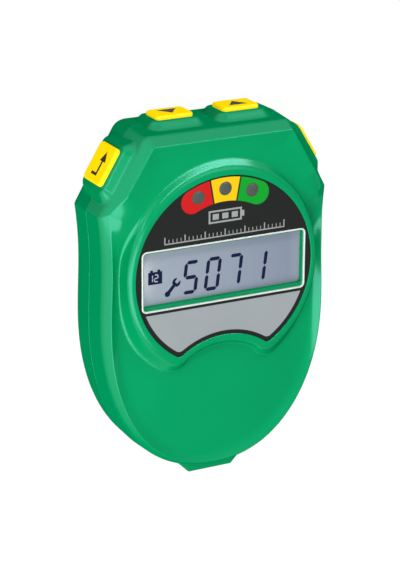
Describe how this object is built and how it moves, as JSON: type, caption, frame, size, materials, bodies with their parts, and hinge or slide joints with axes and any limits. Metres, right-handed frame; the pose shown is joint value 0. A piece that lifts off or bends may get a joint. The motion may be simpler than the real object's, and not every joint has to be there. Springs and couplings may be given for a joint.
{
  "type": "battery tester",
  "caption": "Hand-held battery tester: green two-part housing with a round black dial, a display behind a clear window, lamps, sprung yellow keys round the top and a lead gland at the foot.",
  "frame": {"origin": "under the middle of the whole outline, on the plane of the flat back that it lies on", "axes": "+Z out of the display, +Y towards the two keys on the top wall, +X to the right of the display"},
  "size_m": [0.104, 0.1548, 0.0359],
  "materials": {
    "housing_green": "satin moulded, fine texture",
    "key_yellow": "satin moulded",
    "label_black": "printed film, matt",
    "window_clear": "clear, polished",
    "lamp_window_grey": "smoked, polished",
    "lens_red": "translucent lens",
    "lens_yellow": "translucent lens",
    "lens_green": "translucent lens",
    "lcd_grey": "polarised film on glass",
    "moulding_white": "plain moulded",
    "diffuser_white": "smooth light guide",
    "contact_strip": "layered conductive rubber",
    "switch_black": "plain moulded",
    "plunger_cream": "plain moulded",
    "board_green": "lacquered laminate",
    "chip_black": "moulded epoxy",
    "shunt_alloy": "plain strip",
    "capacitor_can": "sleeved can",
    "terminal_green": "plain moulded",
    "screw_steel": "zinc plated",
    "gland_rubber": "matt moulded"
  },
  "bodies": {
    "housing": {"front_cover": "housing_green", "rear_cover": "housing_green", "face_label": "label_black", "display_window": "window_clear", "lamp_windows": "lamp_window_grey", "down_switch": "switch_black", "up_switch": "switch_black", "escape_switch": "switch_black", "enter_switch": "switch_black", "lcd_glass": "lcd_grey", "lcd_holder": "moulding_white", "lcd_backlight": "diffuser_white", "lcd_connectors": "contact_strip", "red_led": "lens_red", "yellow_led": "lens_yellow", "green_led": "lens_green", "led_spacers": "moulding_white", "main_board": "board_green", "controller_chip": "chip_black", "load_transistors": "chip_black", "shunt_strip": "shunt_alloy", "capacitors": "capacitor_can", "terminal_block": "terminal_green", "terminal_screws": "screw_steel", "lead_gland": "gland_rubber", "board_screws": "screw_steel", "case_screws": "screw_steel"},
    "down_key": {"down_key": "key_yellow", "down_plunger": "plunger_cream"},
    "up_key": {"up_key": "key_yellow", "up_plunger": "plunger_cream"},
    "escape_key": {"escape_key": "key_yellow", "escape_plunger": "plunger_cream"},
    "enter_key": {"enter_key": "key_yellow", "enter_plunger": "plunger_cream"}
  },
  "joints": [
    {"name": "down_press", "type": "slide", "parent": "housing", "child": "down_key", "axis": [0, -1, 0], "range_m": [0, 0.001], "stiffness_N_per_m": 600},
    {"name": "up_press", "type": "slide", "parent": "housing", "child": "up_key", "axis": [0, -1, 0], "range_m": [0, 0.001], "stiffness_N_per_m": 600},
    {"name": "escape_press", "type": "slide", "parent": "housing", "child": "escape_key", "axis": [0.8547, -0.5191, 0], "range_m": [0, 0.001], "stiffness_N_per_m": 600},
    {"name": "enter_press", "type": "slide", "parent": "housing", "child": "enter_key", "axis": [-0.8547, -0.5191, 0], "range_m": [0, 0.001], "stiffness_N_per_m": 600}
  ]
}
